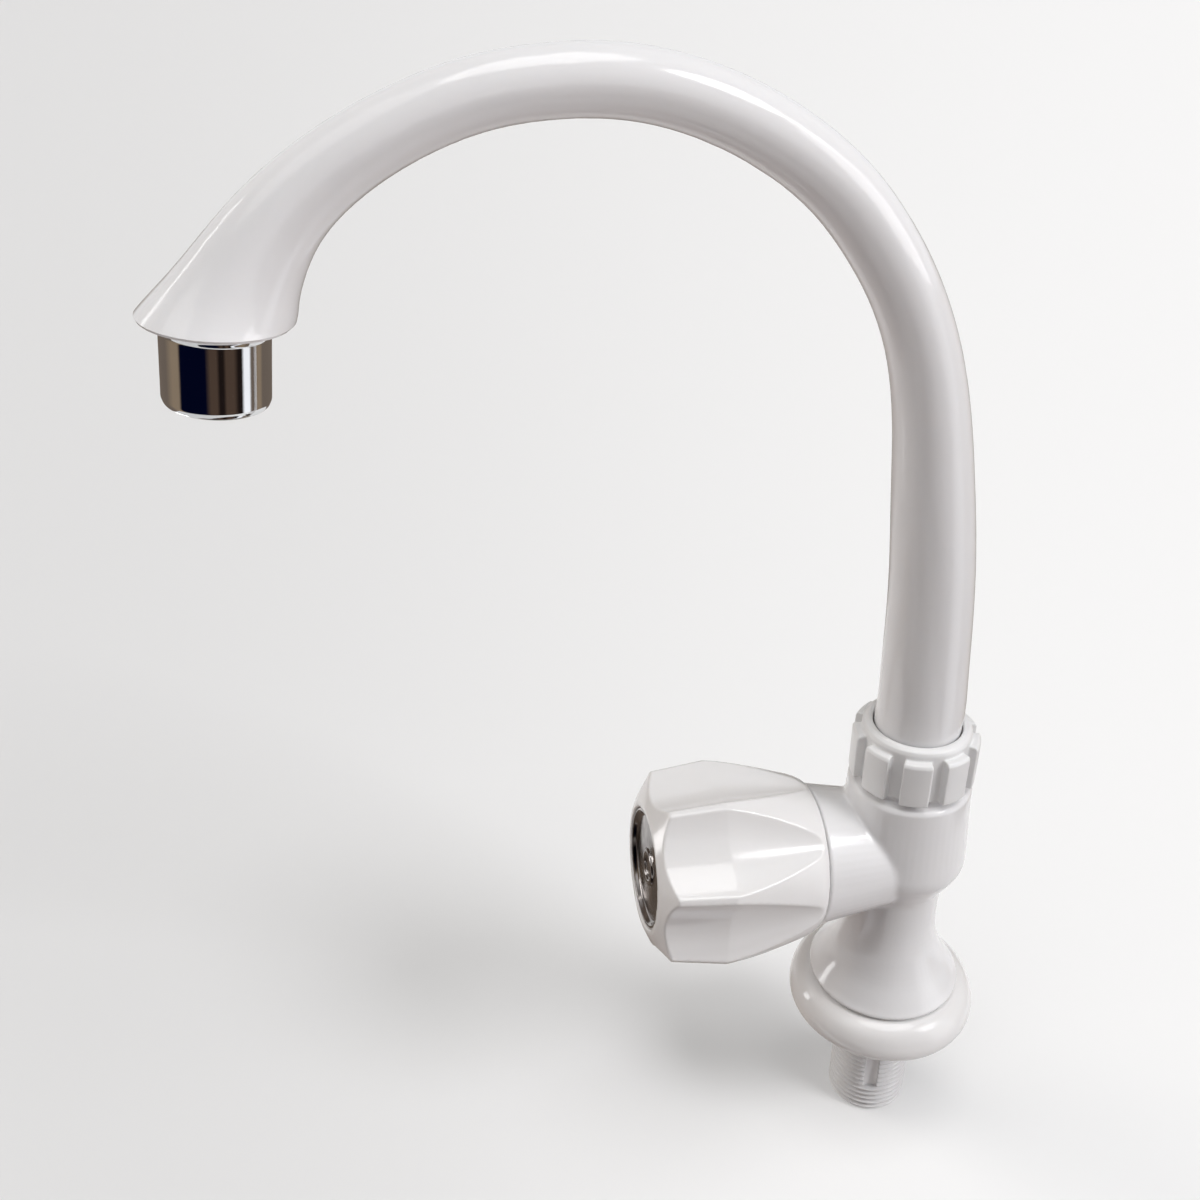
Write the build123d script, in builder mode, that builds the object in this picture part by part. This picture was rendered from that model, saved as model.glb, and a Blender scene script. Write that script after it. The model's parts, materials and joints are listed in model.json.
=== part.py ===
"""A sink tap with a swivelling gooseneck spout and a seven-sided turning knob.

Frame: millimetres, +Z up. The origin is on the tap's upright axis at the deck
plane, where the base gasket rests. The handle and the spout point to -X, and the
handle axis leans up a little towards the knob.
"""
import os
from math import cos, radians, sin, tan

from build123d import *

os.makedirs("parts", exist_ok=True)

# Fits, shared by every piece
run_fit = 0.1  # a round that turns or slides in its bore, on the radius
free_gap = 0.3  # between pieces that move past each other
fix_gap = 0.04  # between pieces that are fixed together
groove_side = 0.1  # room beside a ring in its groove

# Body: shank, foot, bell, neck, barrel and the threaded neck for the nut
shank_radius = 10.48  # half inch pipe thread, over the crests
shank_length = 36.4
shank_bore = 6.0
thread_end = -1.5  # the thread stops at a turned-down neck under the deck face
thread_relief = 1.0
keyway_width = 3.4
keyway_depth = 1.3
keyway_bottom = -27.0
keyway_turn = -109.0
foot_radius = 13.2
foot_bottom = 3.3
bell_radius = 19.6
bell_height = 12.1
bell_lip = 1.0
waist_radius = 11.4
bell_rise = 23.5  # from the lip up to the waist
# the bell's hollow curve: shares of its step in and of its rise
bell_curve = ((0.77, 0.11), (0.51, 0.255), (0.293, 0.417), (0.134, 0.58), (0.037, 0.766))
barrel_radius = 16.1
rim_radius = 14.7
neck_radius = 11.9
socket_radius = 9.4

# Handle axis and the side boss that holds the valve
handle_height = 54.1
handle_tilt = 3.5  # it leans up towards the knob
boss_radius = 17.5
boss_root = 14.7
boss_face = 25.0
dome_start = 7.5
dome_end = -2.0
chamber_radius = 11.5
seat_wall = 6.0
seat_hole = 4.8
seat_lip_radius = 6.4
seat_lip = 0.8
riser_radius = 2.4
riser_reach = 8.6

# Heights up the barrel, from the handle axis
shoulder_height = handle_height - 12.0
shoulder_curve = ((0.23, 0.27), (0.68, 0.58))  # share of the way out, share of the way up
barrel_height = handle_height + 0.9
rim_height = handle_height + 22.5
neck_top = rim_height + 9.4
socket_floor = neck_top - 17.6

# Base ring and its gasket
ring_radius = 24.4
ring_height = 10.6
ring_shoulder = 6.6  # from the top edge out to the widest part
ring_under = 1.8  # and from there in to the underside
ring_bulge = 3.3  # height of the widest part
ring_lift = 0.5
gasket_thickness = 2.0
gasket_radius = 20.3
gasket_bore = 11.0

# Nut that holds the spout down
nut_bottom = rim_height + 1.9
nut_top = nut_bottom + 14.6
nut_radius = 13.0
nut_rim_radius = 12.5
lug_count = 9
lug_arc = 26.2
lug_radius = 15.0
lug_top = nut_bottom + 12.1
lug_turn = -110.6 - lug_arc / 2  # the first lug faces this way

# Spout: stem, tube along the gooseneck and the flared head
spout_radius = 10.2
spout_wall = 2.4
stem_start = nut_top + 0.9
stem_ring_heights = (socket_floor + 4.6, socket_floor + 11.6)
ring_section = 0.8  # radius of the sealing rings' round section
split_ring_thickness = 1.7
split_ring_radius = 11.7
split_ring_bore = 9.3
split_ring_opening = 3.0
slip_washer_thickness = 0.6
arch_height = 238.1  # top of the waterway's centre line
outlet_reach = 144.4
outlet_drop = 36.7  # from the top of the arch to the outlet's rim
outlet_tilt = 8.0
# up the column and over: share of the reach, share of the rise, tube radius
rising_stations = (
    (0.0014, 0.0864, 9.95),
    (0.0062, 0.1833, 9.60),
    (0.0159, 0.3043, 9.20),
    (0.0312, 0.4232, 8.64),
    (0.0478, 0.5332, 7.89),
    (0.0713, 0.6293, 7.29),
    (0.1060, 0.7137, 6.93),
    (0.1544, 0.7918, 6.78),
    (0.2126, 0.8603, 6.57),
    (0.2805, 0.9142, 6.41),
    (0.3525, 0.9550, 6.30),
    (0.4252, 0.9827, 6.19),
    (0.5007, 0.9979, 6.13),
    (0.5776, 1.0000, 6.07),
)
# down the far side: share of the reach, share of the drop, tube radius
falling_stations = (
    (0.6517, 0.0300, 6.06),
    (0.7223, 0.1063, 6.15),
    (0.7929, 0.2262, 6.39),
    (0.8587, 0.3842, 6.87),
    (0.9107, 0.5640, 7.89),
)
# the head flares from there: distance back and up from the outlet, radius, tilt
head_stations = (
    (7.0, 8.3, 9.74, 33.6),
    (4.7, 5.2, 10.86, 25.0),
    (2.2, 2.3, 12.32, 16.2),
)
outlet_height = arch_height - outlet_drop
outlet_radius = 13.9
outlet_edge = 0.6

# Aerator, measured along the outlet's own axis from the rim plane
aerator_socket_radius = 8.2
aerator_socket_depth = 6.0
shell_radius = 9.7
shell_length = 15.6
shell_flange_radius = 10.4
shell_flange = 1.2
shell_bore = 7.4
shell_ledge = 6.5
seal_thickness = 1.4
seal_bore = 5.6
insert_wall = 1.0
insert_plate = 1.2
jet_radius = 0.55
screen_thickness = 0.4
screen_depth = 7.0

# Knob, measured along the handle axis from the tap's axis
knob_start = 25.6
# turned outline: the skirt's curve up to the widest place, then taper and bevel
knob_skirt = (
    (18.4, 25.6),
    (19.5, 27.4),
    (20.7, 31.0),
    (22.2, 36.5),
    (23.4, 41.5),
    (24.3, 46.0),
    (24.9, 50.0),
)
knob_taper = (23.1, 63.4)
knob_front = (16.0, 66.7)
knob_sides = 7
knob_turn = 43.0  # the first scoop, from straight up towards -Y
# a scoop's floor, slope of the sides and round at the floor: behind the knob, at
# its widest place and in front of it
scoop_back = (18.65, 22.0, 3.5)
scoop_middle = (17.85, 26.3, 21.2)
scoop_front = (15.8, 26.3, 21.2)
scoop_overrun = 3.0
trough_half = 17.0
trough_top = 32.0
knob_cavity_radius = 14.0
knob_cavity_end = 43.0
hub_radius = 7.6
hub_start = 38.2
cap_radius = 14.6
cap_floor = 63.2
cap_rim = 66.4
cap_plate = 2.0
cap_ring_outer = 4.6
cap_ring_inner = 2.8
screw_floor = 59.0
screw_recess = 5.2

# Valve headwork, measured the same way
bonnet_start = 13.4
bonnet_thread_radius = 11.4
bonnet_seal_thickness = 1.0
bonnet_seal_radius = 13.1
bonnet_flats = 23.0
bonnet_flange = 4.0
bonnet_nose_radius = 7.0
bonnet_nose_end = 36.5
bonnet_mouth_radius = 8.8
bonnet_mouth_end = 16.4
guide_radius = 6.1
guide_flat = 5.1
guide_end = 27.0
journal_radius = 4.0
collar_radius = 5.7
collar_thickness = 2.0
spindle_thread_radius = 2.95
spindle_end = 55.8
square_half = 2.8
spindle_ring_stations = (31.4, 34.2)
spindle_ring_section = 0.45
clip_radius = 5.4
clip_thickness = 0.8
plunger_cup_radius = 8.3
plunger_cup_start = 8.2
plunger_cup_end = 11.0
plunger_end = 21.5
plunger_bore_start = 12.6
plunger_travel = 3.6  # from shut to fully open
washer_radius = 7.2
washer_thickness = 2.6
washer_screw_radius = 1.3
washer_head_radius = 2.8
washer_head = 1.8
knob_screw_radius = 1.4
knob_screw_head_radius = 4.2
knob_screw_head = 2.5
knob_screw_start = 46.0

lean = radians(handle_tilt)
handle_out = (-cos(lean), 0, sin(lean))
handle_up = (sin(lean), 0, cos(lean))
handle_axis = Axis((0, 0, handle_height), handle_out)
handle_section = Plane(origin=(0, 0, handle_height), x_dir=handle_up, z_dir=(0, -1, 0))
outlet_point = (-outlet_reach, 0, outlet_height)
tilt = radians(outlet_tilt)
outlet_axis = Axis(outlet_point, (-sin(tilt), 0, -cos(tilt)))
outlet_section = Plane(
    origin=outlet_point, x_dir=(-cos(tilt), 0, sin(tilt)), z_dir=(0, -1, 0)
)


def section(plane, *points):
    """Closed outline in a half plane; the points are (radius, station) pairs."""
    with BuildSketch(plane, mode=Mode.PRIVATE) as face:
        with BuildLine():
            Polyline(*points, close=True)
        make_face()
    return face.sketch


def disc(plane, radius):
    """Plain round section of a tube."""
    with BuildSketch(plane, mode=Mode.PRIVATE) as face:
        Circle(radius)
    return face.sketch


def ring_face(plane, radius, station, size):
    """Round section of a sealing ring."""
    with BuildSketch(plane, mode=Mode.PRIVATE) as face:
        with Locations((radius, station)):
            Circle(size)
    return face.sketch


def across_handle(station, turn=0.0):
    """Plane square to the handle axis, its x axis up when turn is zero."""
    origin = (station * handle_out[0], 0, handle_height + station * handle_out[2])
    return Plane(origin=origin, x_dir=handle_up, z_dir=handle_out).rotated((0, 0, turn))


def outlet_facing(reach, height, tilt):
    """Plane square to the waterway where it leans this far from straight down."""
    angle = radians(tilt)
    return Plane(origin=(-reach, 0, height), x_dir=(0, 1, 0), z_dir=(-sin(angle), 0, -cos(angle)))


def tube_planes():
    """Planes square to the waterway at its stations, with the tube radii."""
    rise = arch_height - stem_start
    rows = [(0, stem_start, spout_radius)]
    for reach, share, radius in rising_stations:
        rows.append((-reach * outlet_reach, stem_start + share * rise, radius))
    for reach, share, radius in falling_stations:
        rows.append((-reach * outlet_reach, arch_height - share * outlet_drop, radius))
    head = [
        (outlet_facing(outlet_reach - back, outlet_height + up, tilt), radius)
        for back, up, radius, tilt in head_stations
    ]
    ends = rows + [(head[0][0].origin.X, head[0][0].origin.Z, 0)]
    planes = [(Plane(origin=(0, 0, stem_start), x_dir=(0, 1, 0), z_dir=(0, 0, 1)), spout_radius)]
    for (x0, z0, _), (x, z, radius), (x1, z1, _) in zip(ends, ends[1:], ends[2:]):
        along = (x1 - x0, 0, z1 - z0)
        planes.append((Plane(origin=(x, 0, z), x_dir=(0, 1, 0), z_dir=along), radius))
    return planes + head


outlet_plane = outlet_facing(outlet_reach, outlet_height, outlet_tilt)

# Body, one moulding with the shank, the side boss and the valve seat
with BuildPart() as tap_body:
    # the turned outline, drawn on the keyway's side
    with BuildSketch(Plane.XZ.rotated((0, 0, keyway_turn))):
        with BuildLine():
            Polyline(
                (0, -shank_length),
                (shank_radius - 0.8, -shank_length),
                (shank_radius, -shank_length + 0.8),
                (shank_radius, thread_end),
                (shank_radius - thread_relief, thread_end + thread_relief),
                (shank_radius - thread_relief, foot_bottom),
                (foot_radius, foot_bottom),
                (foot_radius, bell_height - bell_lip),
                (bell_radius - 0.5, bell_height - bell_lip),
                (bell_radius, bell_height),
            )
            Spline(
                (bell_radius, bell_height),
                *[
                    (waist_radius + step * (bell_radius - waist_radius), bell_height + up * bell_rise)
                    for step, up in bell_curve
                ],
                (waist_radius, bell_height + bell_rise),
                tangents=((-1.0, 0.9), (0, 1)),
            )
            Line((waist_radius, bell_height + bell_rise), (waist_radius, shoulder_height))
            Spline(
                (waist_radius, shoulder_height),
                *[
                    (
                        waist_radius + step * (barrel_radius - waist_radius),
                        shoulder_height + up * (barrel_height - shoulder_height),
                    )
                    for step, up in shoulder_curve
                ],
                (barrel_radius, barrel_height),
                tangents=((0, 1), (0, 1)),
            )
            Polyline(
                (barrel_radius, barrel_height),
                (rim_radius + 0.15, rim_height - 0.9),
                (rim_radius - 0.7, rim_height),
                (neck_radius, rim_height),
                (neck_radius, neck_top - 0.6),
                (neck_radius - 0.6, neck_top),
                (0, neck_top),
                (0, -shank_length),
            )
        make_face()
    revolve(axis=Axis.Z)
    with BuildSketch(handle_section):
        with BuildLine():
            Line((0, dome_end), (0, boss_face))
            Polyline((0, boss_face), (boss_radius - 0.4, boss_face), (boss_radius, boss_face - 0.4))
            Line((boss_radius, boss_face - 0.4), (boss_root, dome_start))
            EllipticalCenterArc(
                (0, dome_start), boss_root, dome_start - dome_end, start_angle=270, arc_size=90
            )
        make_face()
    revolve(axis=handle_axis)
    # valve chamber, with the raised seat lip left standing round the seat hole
    lip_top = seat_wall + seat_lip
    revolve(
        section(
            handle_section,
            (0, lip_top),
            (seat_lip_radius, lip_top),
            (seat_lip_radius + 0.6, seat_wall),
            (chamber_radius, seat_wall),
            (chamber_radius, boss_face),
            (0, boss_face),
        ),
        axis=handle_axis,
        mode=Mode.SUBTRACT,
    )
    revolve(
        section(handle_section, (0, 0), (seat_hole, 0), (seat_hole, lip_top), (0, lip_top)),
        axis=handle_axis,
        mode=Mode.SUBTRACT,
    )
    # waterway up the shank, and the spout's socket
    with BuildSketch(Plane.XY.offset(-shank_length)):
        Circle(shank_bore)
    extrude(amount=shank_length + handle_height, mode=Mode.SUBTRACT)
    with BuildSketch(Plane.XY.offset(socket_floor)):
        Circle(socket_radius)
    extrude(amount=neck_top - socket_floor, mode=Mode.SUBTRACT)
    # three risers from the chamber to the socket
    with BuildSketch(Plane.XY.offset(handle_height)):
        with Locations((-riser_reach, 0), (-riser_reach + 1.4, -5.2), (-riser_reach + 1.4, 5.2)):
            Circle(riser_radius)
    extrude(amount=socket_floor - handle_height, mode=Mode.SUBTRACT)
    # keyway along the shank
    with BuildSketch(Plane.XY.offset(keyway_bottom).rotated((0, 0, keyway_turn))):
        with Locations((shank_radius, 0)):
            Rectangle(2 * keyway_depth, keyway_width)
    extrude(amount=thread_end + thread_relief - keyway_bottom, mode=Mode.SUBTRACT)
tap_body.part.label = "tap_body"
export_step(tap_body.part, "parts/tap_body.step")

# Base ring: a rounded collar with a floor that the foot stands on
ring_bore = foot_radius + fix_gap
ring_edge = ring_radius - ring_shoulder
ring_foot = ring_radius - ring_under
with BuildPart() as base_ring:
    with BuildSketch(Plane.XZ):
        with BuildLine():
            EllipticalCenterArc(
                (ring_edge, ring_bulge), ring_shoulder, ring_height - ring_bulge, arc_size=90
            )
            EllipticalCenterArc(
                (ring_foot, ring_bulge),
                ring_under,
                ring_bulge - ring_lift,
                start_angle=270,
                arc_size=90,
            )
            Polyline(
                (ring_foot, ring_lift),
                (gasket_radius + fix_gap, ring_lift),
                (gasket_radius + fix_gap, gasket_thickness),
                (gasket_bore, gasket_thickness),
                (gasket_bore, foot_bottom),
                (ring_bore, foot_bottom),
                (ring_bore, ring_height - 1.4),
                (ring_edge, ring_height),
            )
        make_face()
    revolve(axis=Axis.Z)
base_ring.part.label = "base_ring"
export_step(base_ring.part, "parts/base_ring.step")

with BuildPart() as base_gasket:
    with BuildSketch():
        Circle(gasket_radius)
        Circle(gasket_bore, mode=Mode.SUBTRACT)
    extrude(amount=gasket_thickness)
base_gasket.part.label = "base_gasket"
export_step(base_gasket.part, "parts/base_gasket.step")

# Nut with its nine grip lugs
nut_bore = spout_radius + free_gap
washer_bottom = neck_top + free_gap + 0.6 + split_ring_thickness + groove_side + free_gap
web_bottom = washer_bottom + slip_washer_thickness
with BuildPart() as grip_lug:
    revolve(
        section(
            Plane.XZ,
            (nut_radius - 0.9, nut_bottom),
            (lug_radius - 0.3, nut_bottom),
            (lug_radius, nut_bottom + 0.4),
            (lug_radius, lug_top - 0.8),
            (lug_radius - 0.5, lug_top),
            (nut_radius - 0.9, lug_top),
        ),
        axis=Axis.Z,
        revolution_arc=lug_arc,
    )

with BuildPart() as spout_nut:
    revolve(
        section(
            Plane.XZ,
            (neck_radius + run_fit, nut_bottom),
            (nut_radius - 0.3, nut_bottom),
            (nut_radius, nut_bottom + 0.4),
            (nut_radius - 0.1, nut_top - 1.3),
            (nut_rim_radius, nut_top - 0.5),
            (nut_rim_radius - 0.8, nut_top),
            (nut_bore + 0.3, nut_top),
            (nut_bore, nut_top - 0.3),
            (nut_bore, web_bottom),
            (neck_radius + run_fit, web_bottom),
        ),
        axis=Axis.Z,
    )
    for lug in range(lug_count):
        add(grip_lug.part.rotate(Axis.Z, lug_turn + lug * 360 / lug_count))
spout_nut.part.label = "spout_nut"
export_step(spout_nut.part, "parts/spout_nut.step")

with BuildPart() as spout_slip_washer:
    with BuildSketch(Plane.XY.offset(washer_bottom)):
        Circle(split_ring_radius)
        Circle(nut_bore, mode=Mode.SUBTRACT)
    extrude(amount=slip_washer_thickness)
spout_slip_washer.part.label = "spout_slip_washer"
export_step(spout_slip_washer.part, "parts/spout_slip_washer.step")

# Spout: turned stem with its ring grooves, gooseneck tube and flared head
stem_radius = socket_radius - run_fit
stem_bottom = socket_floor + free_gap
split_groove = neck_top + free_gap + 0.6
groove_bottom = stem_radius - 2 * ring_section
half_groove = ring_section + groove_side
lower_ring, upper_ring = stem_ring_heights
with BuildPart() as spout:
    stations = tube_planes()
    loft([disc(*place) for place in stations] + [disc(outlet_plane, outlet_radius)])
    stem_outline = [(0, stem_bottom), (stem_radius - 0.6, stem_bottom), (stem_radius, stem_bottom + 0.6)]
    for height in stem_ring_heights:
        stem_outline += [
            (stem_radius, height - half_groove),
            (groove_bottom, height - half_groove),
            (groove_bottom, height + half_groove),
            (stem_radius, height + half_groove),
        ]
    stem_outline += [
        (stem_radius, neck_top + free_gap),
        (spout_radius, neck_top + free_gap),
        (spout_radius, split_groove),
        (split_ring_bore - fix_gap, split_groove),
        (split_ring_bore - fix_gap, split_groove + split_ring_thickness + groove_side),
        (spout_radius, split_groove + split_ring_thickness + groove_side),
        (spout_radius, stem_start),
        (0, stem_start),
    ]
    revolve(section(Plane.XZ, *stem_outline), axis=Axis.Z)
    # waterway: the stem's bore, the tube's bore and the aerator's socket
    with BuildSketch(Plane.XY.offset(stem_bottom)):
        Circle(stem_radius - spout_wall)
    extrude(amount=stem_start - stem_bottom, mode=Mode.SUBTRACT)
    socket_top = outlet_plane.offset(-aerator_socket_depth)
    bores = [disc(plane, radius - spout_wall) for plane, radius in stations[: -len(head_stations)]]
    loft(bores + [disc(socket_top, seal_bore + 0.2)], mode=Mode.SUBTRACT)
    with BuildSketch(socket_top):
        Circle(aerator_socket_radius)
    extrude(amount=aerator_socket_depth, mode=Mode.SUBTRACT)
    brim = spout.faces().filter_by(GeomType.PLANE).sort_by_distance(outlet_point)[0]
    chamfer(brim.outer_wire().edges(), outlet_edge)
spout.part.label = "spout"
export_step(spout.part, "parts/spout.step")

with BuildPart() as spout_split_ring:
    with BuildSketch(Plane.XY.offset(split_groove + groove_side / 2)):
        Circle(split_ring_radius)
        Circle(split_ring_bore, mode=Mode.SUBTRACT)
        with Locations((split_ring_radius, 0)):
            Rectangle(split_ring_radius, split_ring_opening, mode=Mode.SUBTRACT)
    extrude(amount=split_ring_thickness)
spout_split_ring.part.label = "spout_split_ring"
export_step(spout_split_ring.part, "parts/spout_split_ring.step")

ring_centre = groove_bottom + fix_gap / 2 + ring_section
with BuildPart() as spout_o_ring_lower:
    revolve(ring_face(Plane.XZ, ring_centre, lower_ring, ring_section), axis=Axis.Z)
spout_o_ring_lower.part.label = "spout_o_ring_lower"
export_step(spout_o_ring_lower.part, "parts/spout_o_ring_lower.step")

with BuildPart() as spout_o_ring_upper:
    revolve(ring_face(Plane.XZ, ring_centre, upper_ring, ring_section), axis=Axis.Z)
spout_o_ring_upper.part.label = "spout_o_ring_upper"
export_step(spout_o_ring_upper.part, "parts/spout_o_ring_upper.step")

# Aerator
seal_end = seal_thickness - aerator_socket_depth
neck_wall = aerator_socket_radius - fix_gap
with BuildPart() as aerator_shell:
    revolve(
        section(
            outlet_section,
            (shell_bore, seal_end),
            (neck_wall - 0.4, seal_end),
            (neck_wall, seal_end + 0.4),
            (neck_wall, 0.05),
            (shell_flange_radius - 0.3, 0.05),
            (shell_flange_radius, 0.4),
            (shell_flange_radius - 0.2, shell_flange),
            (shell_radius, shell_flange + 0.9),
            (shell_radius, shell_length - 1.4),
            (shell_radius - 0.4, shell_length - 0.5),
            (shell_radius - 1.2, shell_length),
            (shell_ledge + 1.4, shell_length),
            (shell_ledge, shell_length - 1.6),
            (shell_ledge, shell_length - 2.6),
            (shell_bore, shell_length - 2.6),
        ),
        axis=outlet_axis,
    )
aerator_shell.part.label = "aerator_shell"
export_step(aerator_shell.part, "parts/aerator_shell.step")

with BuildPart() as aerator_seal:
    revolve(
        section(
            outlet_section,
            (seal_bore, fix_gap - aerator_socket_depth),
            (neck_wall - 0.2, fix_gap - aerator_socket_depth),
            (neck_wall - 0.2, seal_end),
            (seal_bore, seal_end),
        ),
        axis=outlet_axis,
    )
aerator_seal.part.label = "aerator_seal"
export_step(aerator_seal.part, "parts/aerator_seal.step")

# Insert: a cup whose lower plate breaks the water into jets
insert_radius = shell_bore - fix_gap
insert_top = seal_end + 0.05
insert_bottom = shell_length - 2.6
with BuildPart() as aerator_insert:
    revolve(
        section(
            outlet_section,
            (insert_radius - insert_wall, insert_top),
            (insert_radius, insert_top),
            (insert_radius, insert_bottom),
            (0, insert_bottom),
            (0, insert_bottom - insert_plate),
            (insert_radius - insert_wall, insert_bottom - insert_plate),
        ),
        axis=outlet_axis,
    )
    with BuildSketch(outlet_plane.offset(insert_bottom)):
        Circle(jet_radius)
        with PolarLocations(2.2, 6):
            Circle(jet_radius)
        with PolarLocations(4.3, 12):
            Circle(jet_radius)
    extrude(amount=-insert_plate, mode=Mode.SUBTRACT)
aerator_insert.part.label = "aerator_insert"
export_step(aerator_insert.part, "parts/aerator_insert.step")

screen_radius = insert_radius - insert_wall - fix_gap
with BuildPart() as aerator_screen:
    with BuildSketch(outlet_plane.offset(screen_depth)):
        Circle(screen_radius)
        with GridLocations(2.2, 2.2, 5, 5):
            Rectangle(1.3, 1.3, mode=Mode.SUBTRACT)
    extrude(amount=screen_thickness)
aerator_screen.part.label = "aerator_screen"
export_step(aerator_screen.part, "parts/aerator_screen.step")


# Knob: a turned blank with seven scoops, each a trough whose floor is a wide
# round at the front and narrows to a crease where it runs out at the skirt
def trough(plane, floor, side_slope, round_radius):
    """Cross-section of a scoop: two sloping sides joined by a tangent arc."""
    slope = radians(side_slope)
    half, top = trough_half, trough_top
    touch = round_radius * sin(slope)
    edge_height = floor + half * tan(slope)
    touch_height = floor + touch * tan(slope)
    arc_height = floor + round_radius * (1 / cos(slope) - 1)
    with BuildSketch(plane, mode=Mode.PRIVATE) as face:
        with BuildLine():
            Line((edge_height, -half), (touch_height, -touch))
            ThreePointArc((touch_height, -touch), (arc_height, 0), (touch_height, touch))
            Line((touch_height, touch), (edge_height, half))
            Line((edge_height, half), (top, half))
            Line((top, half), (top, -half))
            Line((top, -half), (edge_height, -half))
        make_face()
    return face.sketch


knob_end = knob_front[1]
with BuildPart() as scoop:
    loft(
        [
            trough(across_handle(knob_start - scoop_overrun), *scoop_back),
            trough(across_handle(knob_skirt[-1][1]), *scoop_middle),
            trough(across_handle(knob_end + scoop_overrun), *scoop_front),
        ],
        ruled=True,
    )

with BuildPart() as knob:
    with BuildSketch(handle_section):
        with BuildLine():
            Spline(*knob_skirt)
            Polyline(
                knob_skirt[-1],
                knob_taper,
                knob_front,
                (cap_radius + 0.1, knob_end),
                (cap_radius + 0.1, cap_floor),
                (screw_recess, cap_floor),
                (screw_recess, screw_floor),
                (knob_screw_radius + 0.2, screw_floor),
                (knob_screw_radius + 0.2, hub_start),
                (hub_radius, hub_start),
                (hub_radius, knob_cavity_end),
                (knob_cavity_radius, knob_cavity_end),
                (knob_cavity_radius, knob_start),
                knob_skirt[0],
            )
        make_face()
    revolve(axis=handle_axis)
    for side in range(knob_sides):
        turn = -(knob_turn + side * 360 / knob_sides)
        add(scoop.part.rotate(handle_axis, turn), mode=Mode.SUBTRACT)
    with BuildSketch(across_handle(hub_start)):
        Rectangle(2 * (square_half + fix_gap), 2 * (square_half + fix_gap))
    extrude(amount=spindle_end - hub_start + 0.3, mode=Mode.SUBTRACT)
knob.part.label = "knob"
export_step(knob.part, "parts/knob.step")

# Index cap: a dished disc with a raised middle ring, pressed into the knob
cap_face = cap_floor + cap_plate
with BuildPart() as index_cap:
    revolve(
        section(
            handle_section,
            (0, cap_floor),
            (cap_radius, cap_floor),
            (cap_radius, cap_rim - 0.3),
            (cap_radius - 0.3, cap_rim),
            (cap_radius - 0.8, cap_rim),
            (cap_radius - 1.6, cap_face),
            (cap_ring_outer, cap_face),
            (cap_ring_outer - 0.4, cap_face + 0.6),
            (cap_ring_inner + 0.4, cap_face + 0.6),
            (cap_ring_inner, cap_face + 0.2),
            (0, cap_face + 0.2),
        ),
        axis=handle_axis,
    )
index_cap.part.label = "index_cap"
export_step(index_cap.part, "parts/index_cap.step")

with BuildPart() as knob_screw:
    revolve(
        section(
            handle_section,
            (0, knob_screw_start),
            (knob_screw_radius - 0.4, knob_screw_start),
            (knob_screw_radius, knob_screw_start + 0.6),
            (knob_screw_radius, screw_floor),
            (knob_screw_head_radius, screw_floor),
            (knob_screw_head_radius, screw_floor + knob_screw_head - 0.9),
            (knob_screw_head_radius - 1.0, screw_floor + knob_screw_head),
            (0, screw_floor + knob_screw_head),
        ),
        axis=handle_axis,
    )
    head_top = screw_floor + knob_screw_head
    with BuildSketch(across_handle(head_top)):
        Rectangle(0.9, 4.4)
        Rectangle(4.4, 0.9)
    extrude(amount=-1.3, mode=Mode.SUBTRACT)
knob_screw.part.label = "knob_screw"
export_step(knob_screw.part, "parts/knob_screw.step")

# Bonnet: screwed into the boss, with a flatted guide for the plunger
seal_top = boss_face + bonnet_seal_thickness
flange_top = seal_top + bonnet_flange
shoulder = guide_end + collar_thickness + 2 * free_gap
journal_bore = journal_radius + run_fit
with BuildPart() as bonnet:
    revolve(
        section(
            handle_section,
            (0, bonnet_start),
            (bonnet_thread_radius - 0.6, bonnet_start),
            (bonnet_thread_radius, bonnet_start + 0.6),
            (bonnet_thread_radius, seal_top),
            (bonnet_nose_radius, seal_top),
            (bonnet_nose_radius, bonnet_nose_end - 0.5),
            (bonnet_nose_radius - 0.5, bonnet_nose_end),
            (0, bonnet_nose_end),
        ),
        axis=handle_axis,
    )
    with BuildSketch(across_handle(seal_top)):
        RegularPolygon(bonnet_flats / 2, 6, major_radius=False)
    extrude(amount=bonnet_flange)
    revolve(
        section(
            handle_section,
            (0, bonnet_start),
            (bonnet_mouth_radius, bonnet_start),
            (bonnet_mouth_radius, bonnet_mouth_end),
            (0, bonnet_mouth_end),
        ),
        axis=handle_axis,
        mode=Mode.SUBTRACT,
    )
    with BuildSketch(across_handle(bonnet_mouth_end)):
        Circle(guide_radius)
        Rectangle(2 * guide_flat, 2 * guide_radius, mode=Mode.INTERSECT)
    extrude(amount=guide_end - bonnet_mouth_end, mode=Mode.SUBTRACT)
    revolve(
        section(
            handle_section,
            (0, guide_end),
            (guide_radius, guide_end),
            (guide_radius, shoulder),
            (journal_bore, shoulder),
            (journal_bore, bonnet_nose_end),
            (0, bonnet_nose_end),
        ),
        axis=handle_axis,
        mode=Mode.SUBTRACT,
    )
bonnet.part.label = "bonnet"
export_step(bonnet.part, "parts/bonnet.step")

with BuildPart() as bonnet_seal:
    with BuildSketch(across_handle(boss_face)):
        Circle(bonnet_seal_radius)
        Circle(bonnet_thread_radius + fix_gap, mode=Mode.SUBTRACT)
    extrude(amount=bonnet_seal_thickness)
bonnet_seal.part.label = "bonnet_seal"
export_step(bonnet_seal.part, "parts/bonnet_seal.step")

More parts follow.
